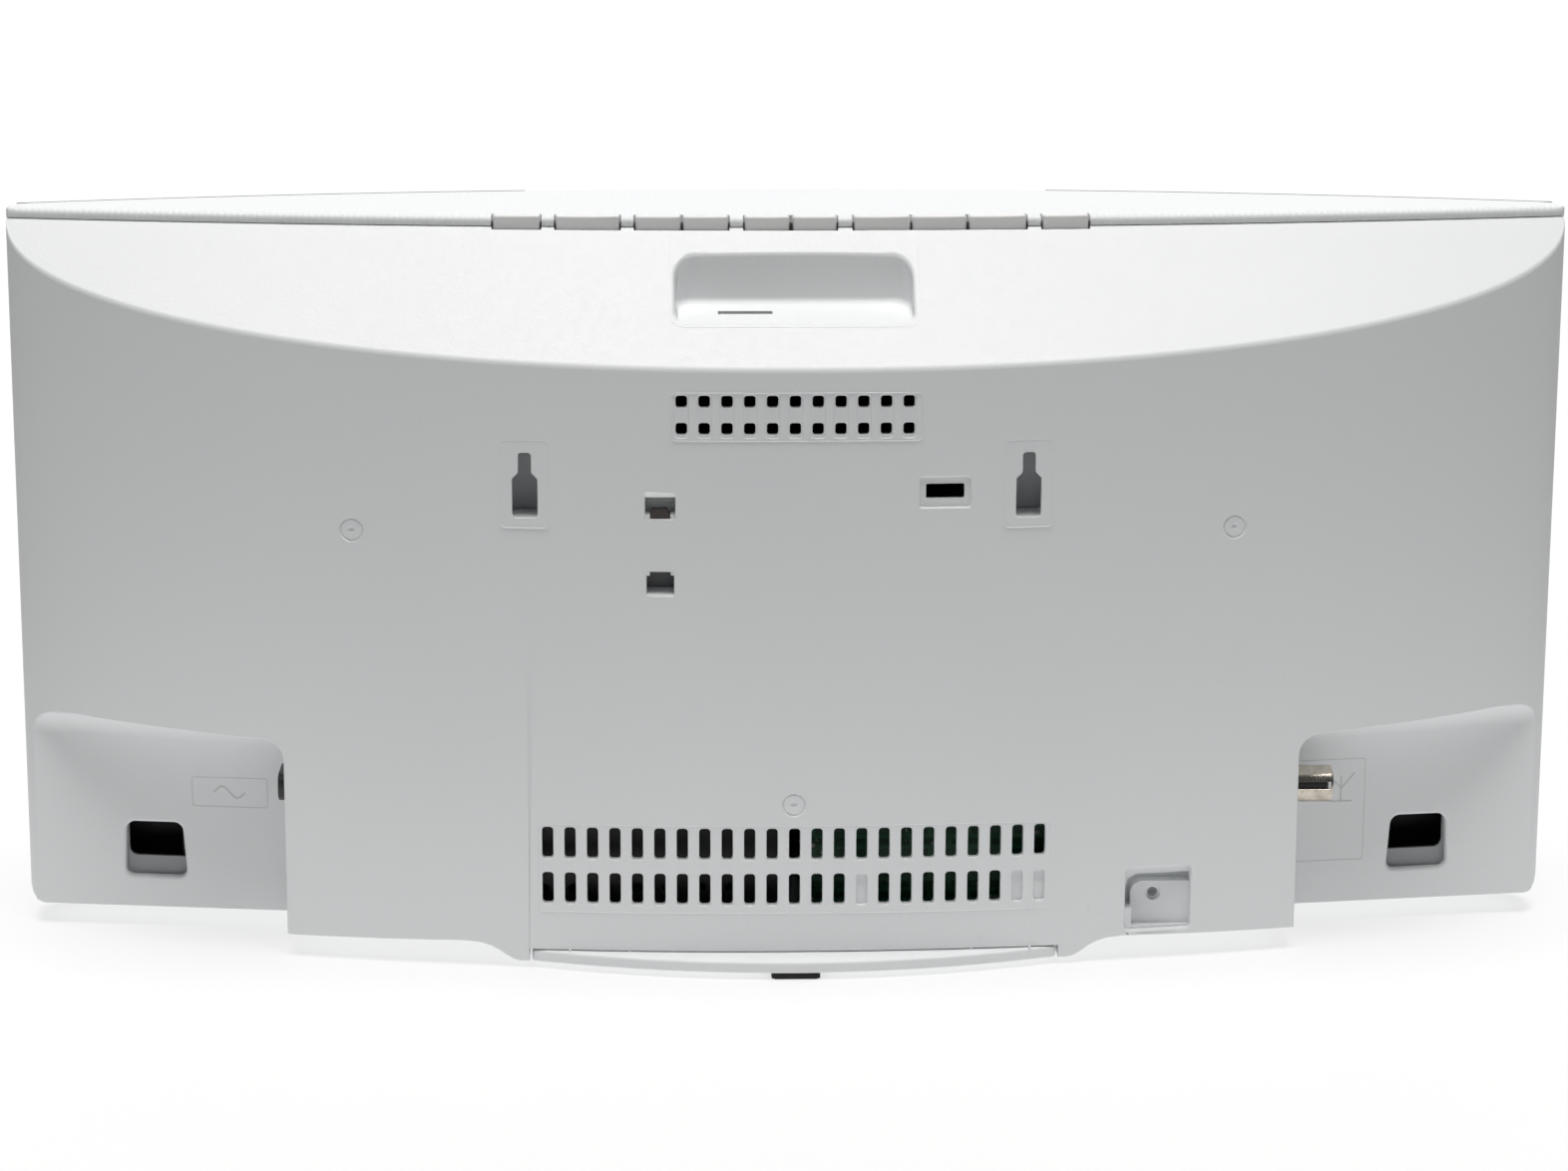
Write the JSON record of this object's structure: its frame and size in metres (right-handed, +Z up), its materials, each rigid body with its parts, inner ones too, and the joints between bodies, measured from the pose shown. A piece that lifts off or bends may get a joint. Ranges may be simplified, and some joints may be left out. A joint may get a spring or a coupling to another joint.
{
  "type": "clock radio",
  "caption": "Slim lens-shaped clock radio for a shelf or wall, with keys along the top rear edge, a sliding door over a disc well, two speakers and a flat foot.",
  "frame": {"origin": "centre of the bounding box's bottom face, on the surface that the rubber pads stand on", "axes": "+X toward the side with the mains inlet, +Y toward the rear wall, +Z up; the front with the sliding door faces -Y"},
  "size_m": [0.4, 0.107, 0.1883],
  "materials": {
    "cabinet_white": "fine spark-eroded grain",
    "key_white": "satin",
    "grille_cloth": "woven",
    "door_gloss": "gloss",
    "dark_plastic": "satin",
    "grey_plastic": "matte",
    "window_smoke": "polished",
    "board_green": "solder mask",
    "steel_zinc": "zinc plated",
    "nickel": "bright nickel",
    "ferrite": "matte",
    "cone_paper": "matte",
    "rubber_black": "matte",
    "coil_tape": "adhesive tape"
  },
  "bodies": {
    "cabinet": {"antenna_jack": "nickel", "disc_chassis": "dark_plastic", "display_board": "board_green", "display_panel": "grey_plastic", "display_window": "window_smoke", "door_motor": "steel_zinc", "door_rail_bottom": "cabinet_white", "door_rail_top": "cabinet_white", "foot": "cabinet_white", "foot_screw_left": "steel_zinc", "foot_screw_right": "steel_zinc", "front_cabinet": "cabinet_white", "grille_left": "grille_cloth", "grille_right": "grille_cloth", "guide_rod_lower": "nickel", "guide_rod_upper": "nickel", "heat_sink": "steel_zinc", "key_board": "board_green", "main_board": "board_green", "mains_capacitor": "dark_plastic", "mains_inlet": "dark_plastic", "power_board": "board_green", "rear_cover": "cabinet_white", "reflex_duct_left": "dark_plastic", "reflex_duct_right": "dark_plastic", "rubber_pad_front_left": "rubber_black", "rubber_pad_front_right": "rubber_black", "rubber_pad_rear": "rubber_black", "sled_motor": "steel_zinc", "speaker_left_basket": "steel_zinc", "speaker_left_cone": "cone_paper", "speaker_left_magnet": "ferrite", "speaker_right_basket": "steel_zinc", "speaker_right_cone": "cone_paper", "speaker_right_magnet": "ferrite", "spindle_motor": "steel_zinc", "top_panel": "cabinet_white", "transformer": "coil_tape"},
    "key_01_body": {"key_01": "key_white"},
    "key_02_body": {"key_02": "key_white"},
    "key_03_body": {"key_03": "key_white"},
    "key_04_body": {"key_04": "key_white"},
    "key_05_body": {"key_05": "key_white"},
    "key_06_body": {"key_06": "key_white"},
    "key_07_body": {"key_07": "key_white"},
    "key_08_body": {"key_08": "key_white"},
    "key_09_body": {"key_09": "key_white"},
    "key_10_body": {"key_10": "key_white"},
    "sliding_door_body": {"sliding_door": "door_gloss"},
    "door_pinion_body": {"door_pinion": "grey_plastic"},
    "door_motor_gear_body": {"door_motor_gear": "grey_plastic"},
    "turntable_body": {"turntable": "dark_plastic"},
    "pickup_sled_body": {"pickup_sled": "dark_plastic"},
    "lead_screw_body": {"lead_screw": "nickel"}
  },
  "joints": [
    {"name": "key_01_press", "type": "slide", "parent": "cabinet", "child": "key_01_body", "axis": [0, 0, -1], "range_m": [0, 0.0005], "stiffness_N_per_m": 600, "springref_m": -0.0005},
    {"name": "key_02_press", "type": "slide", "parent": "cabinet", "child": "key_02_body", "axis": [0, 0, -1], "range_m": [0, 0.0005], "stiffness_N_per_m": 600, "springref_m": -0.0005},
    {"name": "key_03_press", "type": "slide", "parent": "cabinet", "child": "key_03_body", "axis": [0, 0, -1], "range_m": [0, 0.0005], "stiffness_N_per_m": 600, "springref_m": -0.0005},
    {"name": "key_04_press", "type": "slide", "parent": "cabinet", "child": "key_04_body", "axis": [0, 0, -1], "range_m": [0, 0.0005], "stiffness_N_per_m": 600, "springref_m": -0.0005},
    {"name": "key_05_press", "type": "slide", "parent": "cabinet", "child": "key_05_body", "axis": [0, 0, -1], "range_m": [0, 0.0005], "stiffness_N_per_m": 600, "springref_m": -0.0005},
    {"name": "key_06_press", "type": "slide", "parent": "cabinet", "child": "key_06_body", "axis": [0, 0, -1], "range_m": [0, 0.0005], "stiffness_N_per_m": 600, "springref_m": -0.0005},
    {"name": "key_07_press", "type": "slide", "parent": "cabinet", "child": "key_07_body", "axis": [0, 0, -1], "range_m": [0, 0.0005], "stiffness_N_per_m": 600, "springref_m": -0.0005},
    {"name": "key_08_press", "type": "slide", "parent": "cabinet", "child": "key_08_body", "axis": [0, 0, -1], "range_m": [0, 0.0005], "stiffness_N_per_m": 600, "springref_m": -0.0005},
    {"name": "key_09_press", "type": "slide", "parent": "cabinet", "child": "key_09_body", "axis": [0, 0, -1], "range_m": [0, 0.0005], "stiffness_N_per_m": 600, "springref_m": -0.0005},
    {"name": "key_10_press", "type": "slide", "parent": "cabinet", "child": "key_10_body", "axis": [0, 0, -1], "range_m": [0, 0.0005], "stiffness_N_per_m": 600, "springref_m": -0.0005},
    {"name": "door_slide", "type": "hinge", "parent": "cabinet", "child": "sliding_door_body", "pos_m": [0, 0.6322, 0.107], "axis": [0, 0, 1], "range_deg": [0, 10.83]},
    {"name": "door_pinion_spin", "type": "hinge", "parent": "cabinet", "child": "door_pinion_body", "pos_m": [0.06308, -0.03342, 0.0402], "axis": [0, 0, 1], "range_deg": [0, 816]},
    {"name": "door_motor_gear_spin", "type": "hinge", "parent": "cabinet", "child": "door_motor_gear_body", "pos_m": [0.06308, -0.02022, 0.0402], "axis": [0, 0, 1], "range_deg": [-1838, 0]},
    {"name": "turntable_spin", "type": "hinge", "parent": "cabinet", "child": "turntable_body", "pos_m": [0, -0.031, 0.109], "axis": [0, 1, 0], "continuous": true},
    {"name": "pickup_slide", "type": "slide", "parent": "cabinet", "child": "pickup_sled_body", "axis": [-1, 0, 0], "range_m": [0, 0.03]},
    {"name": "lead_screw_spin", "type": "hinge", "parent": "cabinet", "child": "lead_screw_body", "pos_m": [-0.038, -0.021, 0.085], "axis": [1, 0, 0], "range_deg": [0, 1801]}
  ],
  "couplings": [
    {"joint": "door_pinion_spin", "follows": "door_slide", "ratio": 75.289},
    {"joint": "door_motor_gear_spin", "follows": "door_slide", "ratio": -169.4},
    {"joint": "lead_screw_spin", "follows": "pickup_slide", "rad_per_m": 1047.2}
  ]
}
